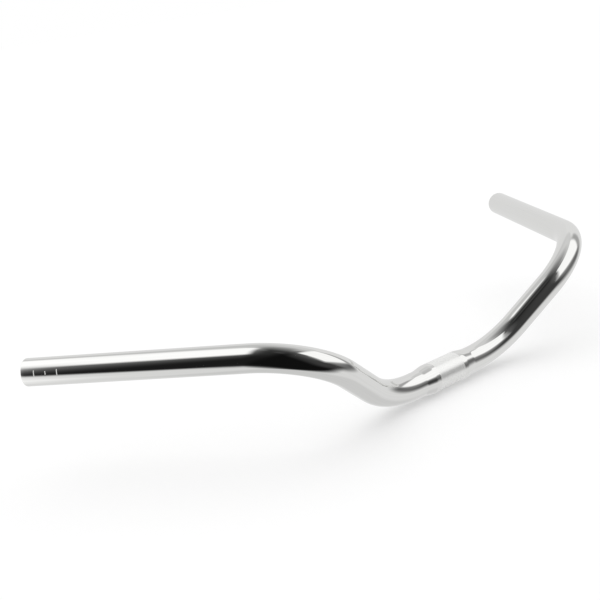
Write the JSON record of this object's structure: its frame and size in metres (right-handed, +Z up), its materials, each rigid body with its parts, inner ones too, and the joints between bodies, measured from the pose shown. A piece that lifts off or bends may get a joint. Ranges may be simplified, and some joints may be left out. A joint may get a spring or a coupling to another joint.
{
  "type": "city bike handlebar",
  "caption": "Swept-back city bike handlebar: a bent hollow aluminium tube with a swelled, matt stem clamp seat, rising sides and long straight grip ends.",
  "frame": {"origin": "middle of the stem clamp seat, on its axis", "axes": "+Y along the clamp axis to the rider's left, +X forwards to the front wheel, +Z up, with both grips level and pointing back and outwards"},
  "size_m": [0.2047, 0.5914, 0.097],
  "materials": {
    "polished_aluminium": "polished, with a matt band where the stem clamps"
  },
  "bodies": {
    "root": {"handlebar": "polished_aluminium"}
  },
  "joints": []
}
